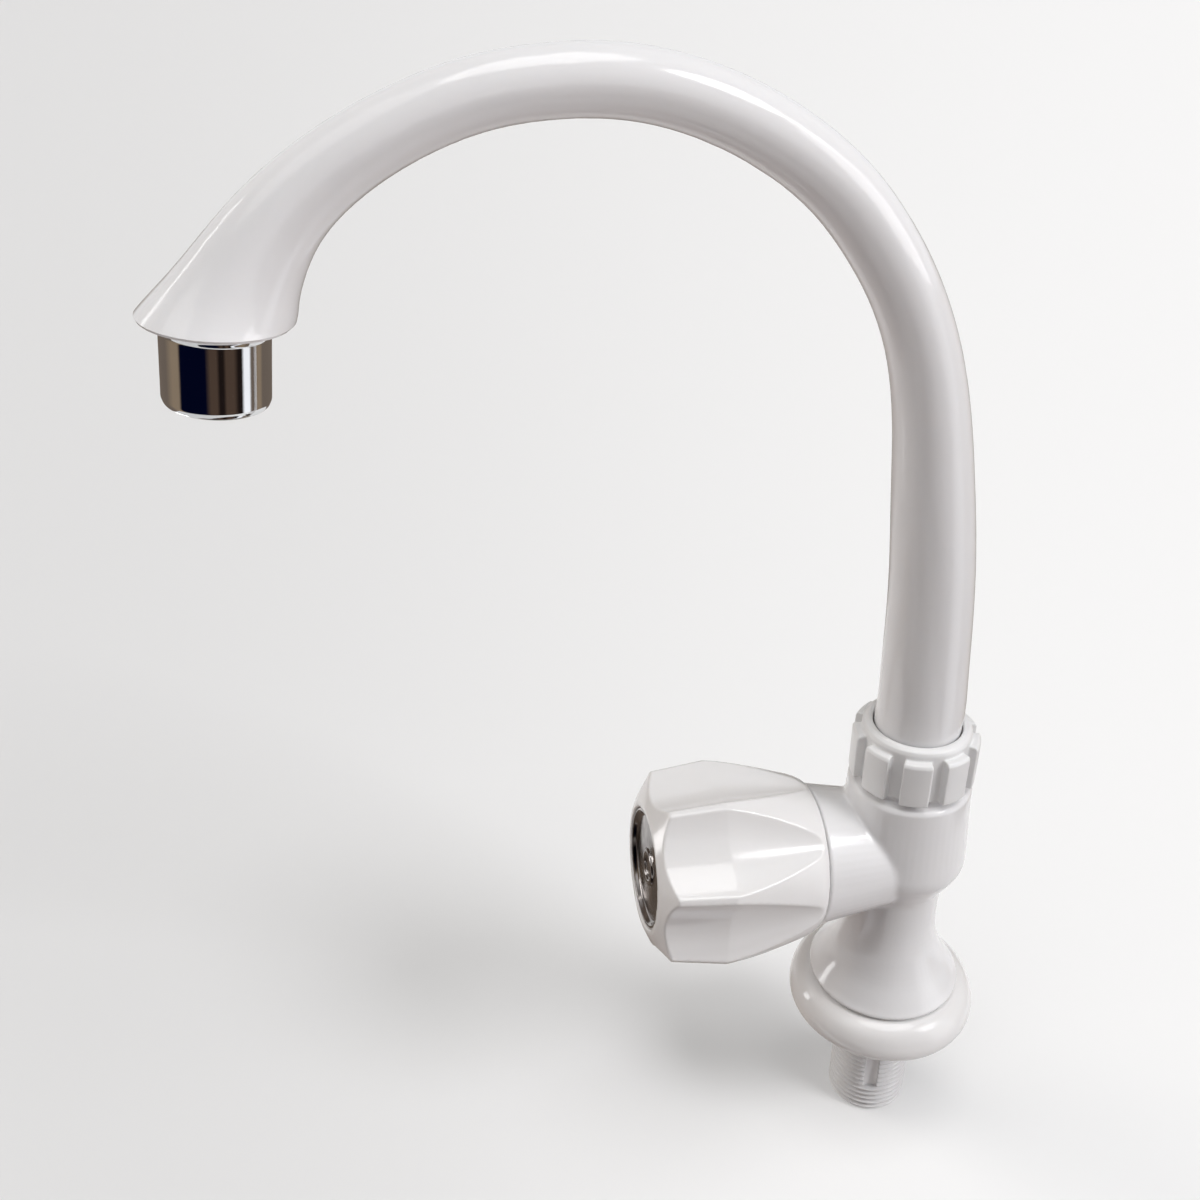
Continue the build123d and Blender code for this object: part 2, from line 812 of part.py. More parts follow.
# Spindle: thread, collar, journal with ring grooves, clip groove and square
collar_start = guide_end + free_gap
collar_end = collar_start + collar_thickness
spindle_start = plunger_bore_start + plunger_travel + free_gap
spindle_groove = journal_radius - 2 * spindle_ring_section
half_ring_groove = spindle_ring_section + groove_side
clip_start = bonnet_nose_end + free_gap
clip_groove_end = clip_start + clip_thickness + groove_side
clip_bore = 3.3
with BuildPart() as spindle:
    spindle_outline = [
        (0, spindle_start),
        (spindle_thread_radius - 0.5, spindle_start),
        (spindle_thread_radius, spindle_start + 0.5),
        (spindle_thread_radius, collar_start),
        (collar_radius, collar_start),
        (collar_radius, collar_end),
        (journal_radius, collar_end),
    ]
    for station in spindle_ring_stations:
        spindle_outline += [
            (journal_radius, station - half_ring_groove),
            (spindle_groove, station - half_ring_groove),
            (spindle_groove, station + half_ring_groove),
            (journal_radius, station + half_ring_groove),
        ]
    spindle_outline += [
        (journal_radius, clip_start),
        (clip_bore - fix_gap, clip_start),
        (clip_bore - fix_gap, clip_groove_end),
        (journal_radius, clip_groove_end),
        (journal_radius, hub_start - 0.1),
        (0, hub_start - 0.1),
    ]
    revolve(section(handle_section, *spindle_outline), axis=handle_axis)
    with BuildSketch(across_handle(hub_start - 0.1)):
        Rectangle(2 * square_half, 2 * square_half)
    extrude(amount=spindle_end - hub_start + 0.1)
    with BuildSketch(across_handle(spindle_end)):
        Circle(knob_screw_radius + fix_gap)
    extrude(amount=-(spindle_end - knob_screw_start + 0.6), mode=Mode.SUBTRACT)
spindle.part.label = "spindle"
export_step(spindle.part, "parts/spindle.step")

inner_station, outer_station = spindle_ring_stations
spindle_ring_centre = spindle_groove + fix_gap / 2 + spindle_ring_section
with BuildPart() as spindle_o_ring_inner:
    revolve(
        ring_face(handle_section, spindle_ring_centre, inner_station, spindle_ring_section),
        axis=handle_axis,
    )
spindle_o_ring_inner.part.label = "spindle_o_ring_inner"
export_step(spindle_o_ring_inner.part, "parts/spindle_o_ring_inner.step")

with BuildPart() as spindle_o_ring_outer:
    revolve(
        ring_face(handle_section, spindle_ring_centre, outer_station, spindle_ring_section),
        axis=handle_axis,
    )
spindle_o_ring_outer.part.label = "spindle_o_ring_outer"
export_step(spindle_o_ring_outer.part, "parts/spindle_o_ring_outer.step")

with BuildPart() as spindle_clip:
    with BuildSketch(across_handle(clip_start + groove_side / 2)):
        Circle(clip_radius)
        Circle(clip_bore, mode=Mode.SUBTRACT)
        with Locations((-clip_radius, 0)):
            Rectangle(clip_radius, 3.6, mode=Mode.SUBTRACT)
    extrude(amount=clip_thickness)
spindle_clip.part.label = "spindle_clip"
export_step(spindle_clip.part, "parts/spindle_clip.step")

# Plunger with its washer and the washer's screw
washer_face = lip_top + free_gap
washer_back = washer_face + washer_thickness
with BuildPart() as plunger:
    with BuildSketch(across_handle(plunger_cup_end)):
        Circle(guide_radius - run_fit)
        Rectangle(2 * (guide_flat - run_fit), 2 * guide_radius, mode=Mode.INTERSECT)
    extrude(amount=plunger_end - plunger_cup_end)
    revolve(
        section(
            handle_section,
            (0, plunger_cup_start),
            (plunger_cup_radius - 0.3, plunger_cup_start),
            (plunger_cup_radius, plunger_cup_start + 0.3),
            (plunger_cup_radius, plunger_cup_end - 0.6),
            (plunger_cup_radius - 0.6, plunger_cup_end),
            (0, plunger_cup_end),
        ),
        axis=handle_axis,
    )
    revolve(
        section(
            handle_section,
            (0, plunger_cup_start),
            (washer_radius + fix_gap, plunger_cup_start),
            (washer_radius + fix_gap, washer_back),
            (0, washer_back),
        ),
        axis=handle_axis,
        mode=Mode.SUBTRACT,
    )
    with BuildSketch(across_handle(washer_back)):
        Circle(washer_screw_radius + fix_gap)
    extrude(amount=plunger_bore_start - washer_back, mode=Mode.SUBTRACT)
    with BuildSketch(across_handle(plunger_bore_start)):
        Circle(spindle_thread_radius + run_fit)
    extrude(amount=plunger_end - plunger_bore_start, mode=Mode.SUBTRACT)
plunger.part.label = "plunger"
export_step(plunger.part, "parts/plunger.step")

with BuildPart() as seat_washer:
    with BuildSketch(across_handle(washer_face)):
        Circle(washer_radius)
        Circle(washer_screw_radius + fix_gap, mode=Mode.SUBTRACT)
    extrude(amount=washer_thickness)
seat_washer.part.label = "seat_washer"
export_step(seat_washer.part, "parts/seat_washer.step")

with BuildPart() as washer_screw:
    revolve(
        section(
            handle_section,
            (0, washer_face - washer_head),
            (washer_head_radius - 0.8, washer_face - washer_head),
            (washer_head_radius, washer_face - washer_head + 0.8),
            (washer_head_radius, washer_face),
            (washer_screw_radius, washer_face),
            (washer_screw_radius, plunger_bore_start - 0.6),
            (0, plunger_bore_start - 0.6),
        ),
        axis=handle_axis,
    )
    with BuildSketch(across_handle(washer_face - washer_head)):
        Rectangle(0.8, 2 * washer_head_radius)
    extrude(amount=0.9, mode=Mode.SUBTRACT)
washer_screw.part.label = "washer_screw"
export_step(washer_screw.part, "parts/washer_screw.step")
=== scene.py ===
"""The sink tap as it looks: camera, floor, lamps, materials and finer pieces.

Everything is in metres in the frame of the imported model: +Z up, the deck plane
at zero, the knob and the outlet towards -X.
"""

import json
from math import atan2, cos, pi, radians, sin

import bmesh
import bpy
import numpy as np
from mathutils import Matrix, Vector

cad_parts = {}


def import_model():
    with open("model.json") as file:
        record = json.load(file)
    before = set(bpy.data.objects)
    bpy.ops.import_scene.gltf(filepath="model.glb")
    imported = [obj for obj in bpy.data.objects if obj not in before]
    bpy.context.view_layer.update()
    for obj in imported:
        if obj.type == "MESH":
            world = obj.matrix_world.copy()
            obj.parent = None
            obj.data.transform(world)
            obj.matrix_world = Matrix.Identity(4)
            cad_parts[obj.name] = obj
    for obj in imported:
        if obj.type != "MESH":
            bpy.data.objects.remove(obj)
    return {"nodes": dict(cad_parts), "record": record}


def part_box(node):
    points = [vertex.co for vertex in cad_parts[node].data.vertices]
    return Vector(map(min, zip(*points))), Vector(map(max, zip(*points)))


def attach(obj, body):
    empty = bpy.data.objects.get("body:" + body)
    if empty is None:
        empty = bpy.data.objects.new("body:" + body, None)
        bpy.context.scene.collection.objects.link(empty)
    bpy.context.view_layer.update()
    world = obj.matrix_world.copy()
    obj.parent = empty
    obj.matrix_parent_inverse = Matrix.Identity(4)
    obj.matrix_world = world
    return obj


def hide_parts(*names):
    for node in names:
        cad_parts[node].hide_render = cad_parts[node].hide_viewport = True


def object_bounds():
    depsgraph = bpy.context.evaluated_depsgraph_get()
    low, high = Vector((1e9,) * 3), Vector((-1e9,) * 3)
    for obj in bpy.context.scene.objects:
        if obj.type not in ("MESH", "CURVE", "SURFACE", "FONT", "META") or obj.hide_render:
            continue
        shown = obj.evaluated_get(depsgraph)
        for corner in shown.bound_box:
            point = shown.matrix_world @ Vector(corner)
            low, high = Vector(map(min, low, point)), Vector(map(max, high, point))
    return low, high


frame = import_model()
cad_low, cad_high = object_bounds()
MM = 0.001

# The shank's thread, its keyway and its bore
THREAD_RADIUS = 10.48 * MM
THREAD_PITCH = 1.814 * MM
THREAD_DEPTH = 1.05 * MM
THREAD_TOP = -1.5 * MM
THREAD_FADE = 1.3 * MM
NECK_RADIUS = THREAD_RADIUS - 1.0 * MM
NECK_TOP = THREAD_TOP + 2.0 * MM
END_CHAMFER = 0.9 * MM
END_CHAMFER_SLOPE = 1.1
THREAD_COLUMNS = 144
THREAD_ROWS_PER_PITCH = 14
KEYWAY_WIDTH = 3.4 * MM
KEYWAY_DEPTH = 1.3 * MM
KEYWAY_BOTTOM = -27.0 * MM
KEYWAY_TOP = THREAD_TOP + 1.0 * MM
KEYWAY_FLARE = 1.15
KEYWAY_TURN = radians(-109.0)
SHANK_BORE = 6.0 * MM

# Where the body's own mesh takes over from the thread
BODY_CUT = THREAD_TOP + 1.6 * MM

# Even grids under the eased pieces, and the two steps that ease without shrinking
BODY_VOXEL = 0.36 * MM
KNOB_VOXEL = 0.32 * MM
NUT_VOXEL = 0.22 * MM
EASE_IN = 0.6
EASE_OUT = 0.45

# Camera, at the photograph's place
CAMERA_PLACE = Vector((-0.11561, -0.22272, 0.27149))
CAMERA_HEADING = -10.0
CAMERA_PITCH = 59.0
CAMERA_ROLL = -0.8
CAMERA_LENS = 37.5
CAMERA_SENSOR = 36.0

# Lamps: name, height above the horizon, turn from +X, strength, width, colour, and
# whether the gloss shows the lamp itself
LAMPS = (
    ("above", 78, 285, 1.15, 36, (1.0, 0.995, 0.99), True),
    ("above_left", 58, 200, 0.45, 40, (1.0, 0.985, 0.965), True),
    ("right_high", 42, 320, 1.20, 20, (0.99, 0.985, 1.0), True),
    ("right_low", 12, 332, 1.00, 36, (0.99, 0.985, 1.0), True),
    ("back_left", 20, 147, 1.30, 40, (1.0, 0.955, 0.91), False),
    ("below", -50, 140, 0.50, 60, (1.0, 0.97, 0.95), True),
)

# The beam on the arch
ARCH_LIGHT_PLACE = Vector((-0.02, -0.95, 0.33))
ARCH_LIGHT_AIM = Vector((-0.03, 0, 0.275))
ARCH_LIGHT_WATTS = 7.0
ARCH_LIGHT_SPREAD = 18.0
ARCH_LIGHT_RADIUS = 0.12

# Cards that give the gloss its highlights: name, what they face, height above the
# horizon and turn from +X as seen from there, distance, width, height, brightness
CARDS = (
    ("softbox", (-0.018, -0.010, 0.069), 41, -28, 0.80, 0.10, 0.12, 7.0),
    ("window", (-0.018, -0.004, 0.014), 8, 156, 0.25, 0.035, 0.075, 7.0),
    ("edge", (-0.150, 0.0, 0.225), 20, 147, 0.60, 0.05, 0.30, 4.5),
)

# Sky: what lights the tap from it, and what the camera sees
SKY_LIGHT = 0.05
SKY_SEEN = 0.85
SKY_COLOUR = (0.97, 0.975, 1.0)

# Floor: half its side and its gap below the shank, what lights the tap from it, what
# the camera sees, and the glow left and right with the height and reach it fades by
FLOOR_HALF = 6.0
FLOOR_GAP = 0.0002
FLOOR_BOUNCE = (0.40, 0.36, 0.35)
FLOOR_SEEN = 0.66
FLOOR_GLOW = (0.09, 0.29)
GLOW_HEIGHT = 0.25
GLOW_REACH = 0.55

# Axes of the turned pieces: the outlet with its aerator, and the knob with its cap
OUTLET = Vector((-144.4, 0, 201.4)) * MM
OUTLET_WAY = Vector((-sin(radians(8.0)), 0, -cos(radians(8.0))))
HANDLE = Vector((0, 0, 54.1)) * MM
HANDLE_WAY = Vector((-cos(radians(3.5)), 0, sin(radians(3.5))))
LATHE_COLUMNS = 192

# Outlines of the turned pieces: radius and place along the axis, in millimetres
AERATOR = [
    (7.4, -4.6),
    (7.7, -4.6),
    (8.1, -4.2),
    (8.1, 0.05),
    (10.25, 0.05),
    (10.4, 0.4),
    (10.2, 1.2),
    (9.7, 2.0),
    (9.7, 14.2),
    (9.35, 15.15),
    (8.5, 15.6),
    (7.9, 15.6),
    (6.5, 14.0),
    (6.5, 13.0),
    (7.4, 13.0),
]
CAP = [
    (0, 63.2),
    (14.6, 63.2),
    (14.6, 66.15),
    (14.3, 66.4),
    (13.8, 66.35),
    (13.1, 65.45),
    (12.6, 65.2),
    (4.8, 65.2),
    (4.35, 65.8),
    (3.15, 65.8),
    (2.75, 65.3),
    (0, 65.35),
]

# What stands round the tap for the chrome to show, each kind in one colour
ROOM = (0.17, 0.135, 0.11)
WALL = (0.29, 0.22, 0.155)
SCREEN = (0.001, 0.002, 0.013)
SHELF = (0.085, 0.055, 0.04)
RECESS = (0.014, 0.009, 0.008)
PANEL = (1.15, 1.16, 1.2)

# Where each stands, from and to, in degrees to the right of the camera's side
SURROUNDINGS = (
    (-180, -122, ROOM),
    (-102, -86, WALL),
    (-80, -28, SCREEN),
    (-18, -6, SHELF),
    (0, 8, RECESS),
    (14, 30, SHELF),
    (40, 48, RECESS),
    (54, 67, PANEL),
    (72, 83, ROOM),
    (88, 100, WALL),
    (108, 180, ROOM),
)
SURROUNDINGS_RADIUS = 0.30
SURROUNDINGS_TOP = OUTLET.z + 0.005
SURROUNDINGS_COLUMNS = 180

# The disc that closes them below: its share of their radius, and its lift
DISC_SHARE = 0.4
DISC_LIFT = 0.001


def material_slot(name):
    """The slot that the record gives a node."""
    for row in frame["record"]["subparts"]:
        if row["node"] == name:
            return row["material_slot"]


def direction(height, turn):
    """The way towards a height above the horizon and a turn from +X, in degrees."""
    flat = cos(radians(height))
    return Vector((flat * cos(radians(turn)), flat * sin(radians(turn)), sin(radians(height))))


def added(name, data):
    """A new object in the scene for a mesh, lamp or camera."""
    obj = bpy.data.objects.new(name, data)
    bpy.context.scene.collection.objects.link(obj)
    return obj


def as_mesh(made, name):
    """The mesh of a finished bmesh."""
    mesh = bpy.data.meshes.new(name)
    made.to_mesh(mesh)
    made.free()
    return mesh


def circle(made, radius, height, columns):
    """A level ring of vertices round the upright axis."""
    ring = []
    for column in range(columns):
        angle = 2 * pi * column / columns
        ring.append(made.verts.new((radius * cos(angle), radius * sin(angle), height)))
    return ring


def wall_between(made, first, second):
    """A band of faces from one ring to the next."""
    for c in range(len(first)):
        d = (c + 1) % len(first)
        made.faces.new((first[c], first[d], second[d], second[c]))


class Surface:
    """A node material built up from noise, with the uniform values on the shader."""

    def __init__(self, name, **values):
        self.material = bpy.data.materials.new(name)
        self.material.use_nodes = True
        self.tree = self.material.node_tree
        self.tree.nodes.clear()
        out = self.new("ShaderNodeOutputMaterial")
        self.shader = self.new("ShaderNodeBsdfPrincipled")
        self.link(self.shader.outputs[0], out.inputs[0])
        self.place = self.new("ShaderNodeTexCoord").outputs["Object"]
        for key, value in values.items():
            self.shader.inputs[key.replace("_", " ")].default_value = value
        self.normal = None

    def new(self, kind, **values):
        """A node of this kind with these settings."""
        made = self.tree.nodes.new(kind)
        for key, value in values.items():
            setattr(made, key, value)
        return made

    def link(self, a, b):
        """A wire from one socket to another."""
        self.tree.links.new(a, b)

    def noise(self, scale, detail=3.0, stretch=(1, 1, 1)):
        """Noise in the object's own space."""
        mapping = self.new("ShaderNodeMapping")
        mapping.inputs["Scale"].default_value = stretch
        self.link(self.place, mapping.inputs["Vector"])
        made = self.new("ShaderNodeTexNoise")
        made.inputs["Scale"].default_value = scale
        made.inputs["Detail"].default_value = detail
        self.link(mapping.outputs[0], made.inputs["Vector"])
        return made.outputs["Fac"]

    def spread(self, value, low, high):
        """The middle of a noise's range stretched from low to high."""
        made = self.new("ShaderNodeMapRange")
        made.inputs["From Min"].default_value = 0.3
        made.inputs["From Max"].default_value = 0.7
        made.inputs["To Min"].default_value = low
        made.inputs["To Max"].default_value = high
        self.link(value, made.inputs["Value"])
        return made.outputs[0]

    def colour(self, first, second, factor):
        """A base colour between two, by the factor."""
        mix = self.new("ShaderNodeMix", data_type="RGBA")
        mix.inputs["A"].default_value = (*first, 1)
        mix.inputs["B"].default_value = (*second, 1)
        self.link(factor, mix.inputs["Factor"])
        self.link(mix.outputs["Result"], self.shader.inputs["Base Color"])
        return self

    def rough(self, low, high, scale, **more):
        """A roughness that drifts from low to high."""
        drift = self.spread(self.noise(scale, **more), low, high)
        self.link(drift, self.shader.inputs["Roughness"])
        return self

    def bump(self, height, scale, strength=1.0, **more):
        """Fine relief, on top of any that is there."""
        made = self.new("ShaderNodeBump")
        made.inputs["Distance"].default_value = height
        made.inputs["Strength"].default_value = strength
        self.link(self.noise(scale, **more), made.inputs["Height"])
        if self.normal is not None:
            self.link(self.normal, made.inputs["Normal"])
        self.normal = made.outputs["Normal"]
        self.link(self.normal, self.shader.inputs["Normal"])
        return self

    def glow(self, strength, colour=(1, 1, 1)):
        """An even light of its own."""
        self.shader.inputs["Emission Color"].default_value = (*colour, 1)
        self.shader.inputs["Emission Strength"].default_value = strength


def tinted(colour, by):
    """The colour made darker or lighter by a factor."""
    return tuple(max(0.0, min(1.0, c * by)) for c in colour)


def gloss_plastic(name, colour, low=0.09, high=0.16, skin=0.000010):
    """Moulded plastic: even colour with slow flow marks and a faint skin texture."""
    made = Surface(name, IOR=1.5, Specular_IOR_Level=0.5, Subsurface_Weight=0.12)
    made.shader.inputs["Subsurface Radius"].default_value = (0.0022, 0.0020, 0.0018)
    made.shader.inputs["Subsurface Scale"].default_value = 1.0
    flow = made.spread(made.noise(22.0, 2.0, (1, 1, 0.35)), 0, 1)
    made.colour(colour, tinted(colour, 0.975), flow)
    made.rough(low, high, 160.0)
    made.bump(skin, 900.0, 0.5).bump(skin * 2.5, 90.0, 0.4)
    return made.material


def matt_plastic(name, colour):
    """Dull moulded plastic with a fine grain."""
    made = Surface(name, IOR=1.48, Specular_IOR_Level=0.4)
    made.colour(colour, tinted(colour, 0.9), made.spread(made.noise(60.0), 0, 1))
    made.rough(0.42, 0.6, 300.0).bump(0.00002, 1500.0, 0.6)
    return made.material


def rubber(name, colour):
    """Dark rubber, dusted and slightly uneven."""
    made = Surface(name, IOR=1.5, Specular_IOR_Level=0.35)
    made.colour(colour, tinted(colour, 1.6), made.spread(made.noise(180.0, 5.0), 0, 1))
    made.rough(0.5, 0.75, 250.0).bump(0.00003, 1200.0, 0.7)
    return made.material


def metal(name, colour, low, high, grain=(1, 1, 1), scratch=0.000006):
    """Metal with fine scratches along its grain."""
    made = Surface(name, Metallic=1.0)
    made.colour(colour, tinted(colour, 0.9), made.spread(made.noise(70.0), 0, 1))
    made.rough(low, high, 420.0, stretch=grain).bump(scratch, 1400.0, 0.5, stretch=grain)
    return made.material


def metallised_with_painted_reflections(name):
    """Thin dark metal over plastic, with painted reflections: the brown and black drifts and light
    streaks in its colour stand in for reflections.
    """
    made = Surface(name, Metallic=1.0)
    # painted reflections: the colour runs from near-black to pale brown in stretched streaks,
    # standing in for reflected surroundings; only the dark metal tone is the cap's own
    drift = made.spread(made.noise(170.0, 5.0, (1, 1, 0.4)), 0, 1)
    made.colour((0.06, 0.05, 0.046), (0.46, 0.43, 0.415), drift)
    made.rough(0.08, 0.2, 300.0).bump(0.00004, 220.0, 0.5, stretch=(1, 1, 0.5))
    return made.material


WHITE = (0.80, 0.795, 0.80)
WARM_WHITE = (0.80, 0.79, 0.785)
materials = {
    "body_plastic": gloss_plastic("body_plastic", WHITE),
    "ring_plastic": gloss_plastic("ring_plastic", WARM_WHITE),
    "nut_plastic": gloss_plastic("nut_plastic", (0.79, 0.79, 0.79), 0.30, 0.40, 0.00002),
    "spout_plastic": gloss_plastic("spout_plastic", WHITE),
    "knob_plastic": gloss_plastic("knob_plastic", WARM_WHITE),
    "bonnet_plastic": gloss_plastic("bonnet_plastic", (0.74, 0.735, 0.71), 0.25, 0.35),
    "washer_plastic": matt_plastic("washer_plastic", (0.64, 0.64, 0.60)),
    "split_ring_plastic": matt_plastic("split_ring_plastic", (0.60, 0.60, 0.56)),
    "insert_plastic": matt_plastic("insert_plastic", (0.55, 0.55, 0.58)),
    "gasket_rubber": rubber("gasket_rubber", (0.02, 0.02, 0.022)),
    "o_ring_rubber": rubber("o_ring_rubber", (0.012, 0.012, 0.012)),
    "aerator_rubber": rubber("aerator_rubber", (0.03, 0.03, 0.03)),
    "bonnet_rubber": rubber("bonnet_rubber", (0.016, 0.016, 0.016)),
    "spindle_rubber": rubber("spindle_rubber", (0.012, 0.012, 0.012)),
    "seat_rubber": rubber("seat_rubber", (0.018, 0.018, 0.018)),
    "aerator_chrome": metal("aerator_chrome", (0.78, 0.79, 0.80), 0.03, 0.07),
    "screen_steel": metal("screen_steel", (0.50, 0.50, 0.50), 0.25, 0.4),
    "screw_steel": metal("screw_steel", (0.55, 0.55, 0.56), 0.2, 0.35),
    "clip_steel": metal("clip_steel", (0.45, 0.45, 0.46), 0.2, 0.35, (1, 4, 1)),
    "spindle_brass": metal("spindle_brass", (0.66, 0.47, 0.20), 0.18, 0.32, (6, 1, 1)),
    "plunger_brass": metal("plunger_brass", (0.63, 0.45, 0.19), 0.2, 0.34, (6, 1, 1)),
    "washer_screw_brass": metal("washer_screw_brass", (0.66, 0.48, 0.21), 0.18, 0.3),
    "cap_metallised": metallised_with_painted_reflections("cap_metallised"),
}
for name, obj in frame["nodes"].items():
    obj.data.materials.clear()
    obj.data.materials.append(materials[material_slot(name)])


def linked(name, mesh, rides_on, slot_name, replaced):
    """A finished piece: in the scene, on its body, with its slot's finish."""
    obj = added(name, mesh)
    mesh.materials.clear()
    mesh.materials.append(materials[slot_name])
    for face in mesh.polygons:
        face.use_smooth = True
    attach(obj, rides_on)
    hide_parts(*replaced)


def neighbours(mesh):
    """Edge ends and the number of edges at each vertex, for the smoothing below."""
    ends = np.empty(len(mesh.edges) * 2, np.int32)
    mesh.edges.foreach_get("vertices", ends)
    ends = ends.reshape(-1, 2)
    count = np.bincount(ends.ravel(), minlength=len(mesh.vertices))
    return ends, np.maximum(count, 1)[:, None]


def pull(points, ends, count):
    """The step from each vertex to the middle of its neighbours."""
    total = np.empty_like(points)
    for axis in range(points.shape[1]):
        total[:, axis] = np.bincount(
            ends[:, 0], points[ends[:, 1], axis], len(points)
        ) + np.bincount(ends[:, 1], points[ends[:, 0], axis], len(points))
    return total / count - points


def hollows(mesh, points, ends, count, voxel):
    """How far each vertex lies in an inside corner, from 0 to 1, spread a little."""
    mesh.vertices.foreach_set("co", points.astype(np.float32).ravel())
    mesh.update()
    normals = np.empty(len(mesh.vertices) * 3, np.float32)
    mesh.vertices.foreach_get("normal", normals)
    hollow = (pull(points, ends, count) * normals.reshape(-1, 3)).sum(1)[:, None]
    hollow = np.clip(hollow / (0.05 * voxel), 0, 1)
    for _ in range(5):
        hollow += pull(hollow, ends, count)
    return np.clip(hollow * 2.5, 0, 1)


def soft_copy(name, voxel, rounds, inside=0):
    """A node's mesh on an even fine grid with its edges eased as a mould leaves them.

    rounds eases every edge; inside adds more easing in the hollow corners only.
    """
    obj = added(name + "_fine", frame["nodes"][name].data.copy())
    remesh = obj.modifiers.new("even", "REMESH")
    remesh.mode = "VOXEL"
    remesh.voxel_size = voxel
    depsgraph = bpy.context.evaluated_depsgraph_get()
    mesh = bpy.data.meshes.new_from_object(obj.evaluated_get(depsgraph))
    bpy.data.objects.remove(obj)
    points = np.empty(len(mesh.vertices) * 3, np.float32)
    mesh.vertices.foreach_get("co", points)
    points = points.reshape(-1, 3).astype(float)
    ends, count = neighbours(mesh)
    for _ in range(rounds):
        points += EASE_IN * pull(points, ends, count)
        points -= EASE_OUT * pull(points, ends, count)
    if inside:
        hollow = hollows(mesh, points, ends, count, voxel)
        for _ in range(inside):
            points += 0.5 * hollow * pull(points, ends, count)
    mesh.vertices.foreach_set("co", points.astype(np.float32).ravel())
    mesh.update()
    return mesh


def thread_radius(above_end, to_top, angle):
    """The thread's radius at a height and angle, with its chamfered end and run-out."""
    phase = above_end / THREAD_PITCH - angle / (2 * pi)
    wave = 0.5 - 0.5 * cos(2 * pi * phase)
    groove = max(0.0, min(1.0, 1.25 * wave - 0.1))
    radius = THREAD_RADIUS - THREAD_DEPTH * groove
    radius = min(radius, THREAD_RADIUS - END_CHAMFER + above_end * END_CHAMFER_SLOPE)
    fade = max(0.0, 1 - to_top / THREAD_FADE)
    return radius * (1 - fade) + NECK_RADIUS * fade


def threaded_shank():
    """The half-inch pipe thread with its keyway, bore and chamfered end."""
    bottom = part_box("tap_body")[0].z
    length = THREAD_TOP - bottom
    rows = int(length / (THREAD_PITCH / THREAD_ROWS_PER_PITCH))
    made = bmesh.new()
    grid = []
    for row in range(rows + 1):
        height = bottom + length * row / rows
        ring = []
        for column in range(THREAD_COLUMNS):
            angle = 2 * pi * column / THREAD_COLUMNS
            radius = thread_radius(height - bottom, THREAD_TOP - height, angle)
            ring.append(made.verts.new((radius * cos(angle), radius * sin(angle), height)))
        grid.append(ring)
    inner_low = circle(made, SHANK_BORE, bottom, THREAD_COLUMNS)
    inner_top = circle(made, SHANK_BORE, NECK_TOP, THREAD_COLUMNS)
    outer_top = circle(made, NECK_RADIUS, NECK_TOP, THREAD_COLUMNS)
    loops = [inner_top, inner_low] + grid + [outer_top, inner_top]
    for first, second in zip(loops, loops[1:]):
        wall_between(made, first, second)
    bmesh.ops.recalc_face_normals(made, faces=made.faces)
    return cut(as_mesh(made, "shank_thread"), keyway_cutter())


def keyway_cutter():
    """A round-ended slot along the thread, as a closed solid to cut with."""
    made = bmesh.new()
    half = KEYWAY_WIDTH / 2
    end = KEYWAY_BOTTOM + half * 0.5
    outline = [(-half, KEYWAY_TOP), (-half, end)]
    for step in range(1, 8):
        angle = pi + pi * step / 8
        outline.append((half * cos(angle), end + half * 0.5 * sin(angle)))
    outline += [(half, end), (half, KEYWAY_TOP)]
    near, far = THREAD_RADIUS - KEYWAY_DEPTH, THREAD_RADIUS + 1.0 * MM
    turn = Matrix.Rotation(KEYWAY_TURN, 4, "Z")
    inner = [made.verts.new(turn @ Vector((near, x, z))) for x, z in outline]
    outer = [made.verts.new(turn @ Vector((far, x * KEYWAY_FLARE, z))) for x, z in outline]
    made.faces.new(inner)
    made.faces.new(reversed(outer))
    wall_between(made, inner, outer)
    bmesh.ops.recalc_face_normals(made, faces=made.faces)
    return as_mesh(made, "keyway")


def cut(mesh, cutter):
    """The mesh with the cutter's solid taken out of it."""
    obj, tool = added("cut", mesh), added("tool", cutter)
    step = obj.modifiers.new("cut", "BOOLEAN")
    step.operation = "DIFFERENCE"
    step.solver = "EXACT"
    step.object = tool
    depsgraph = bpy.context.evaluated_depsgraph_get()
    made = bpy.data.meshes.new_from_object(obj.evaluated_get(depsgraph))
    for helper in (obj, tool):
        bpy.data.objects.remove(helper)
    return made


def body_mesh():
    """The body with soft inside corners, on its threaded shank."""
    made = bmesh.new()
    made.from_mesh(soft_copy("tap_body", BODY_VOXEL, 2, inside=12))
    bmesh.ops.bisect_plane(
        made,
        geom=made.verts[:] + made.edges[:] + made.faces[:],
        plane_co=(0, 0, BODY_CUT),
        plane_no=(0, 0, 1),
        clear_inner=True,
    )
    made.from_mesh(threaded_shank())
    return as_mesh(made, "tap_body_fine")


def lathe(name, outline, foot, way):
    """A solid turned about the way from foot; outline rows are radius and place, in mm."""
    across = Vector((0, 1, 0))
    up = way.cross(across).normalized()
    made = bmesh.new()
    rings = []
    for radius, along in outline:
        middle = foot + way * along * MM
        if radius == 0:
            rings.append([made.verts.new(middle)] * LATHE_COLUMNS)
            continue
        ring = []
        for column in range(LATHE_COLUMNS):
            angle = 2 * pi * column / LATHE_COLUMNS
            out = across * cos(angle) + up * sin(angle)
            ring.append(made.verts.new(middle + out * radius * MM))
        rings.append(ring)
    for first, second in zip(rings, rings[1:] + rings[:1]):
        if first[0] is first[1] and second[0] is second[1]:
            continue
        for c in range(LATHE_COLUMNS):
            d = (c + 1) % LATHE_COLUMNS
            corners = [first[c], first[d], second[d], second[c]]
            made.faces.new(list(dict.fromkeys(corners)))
    bmesh.ops.recalc_face_normals(made, faces=made.faces)
    return as_mesh(made, name)


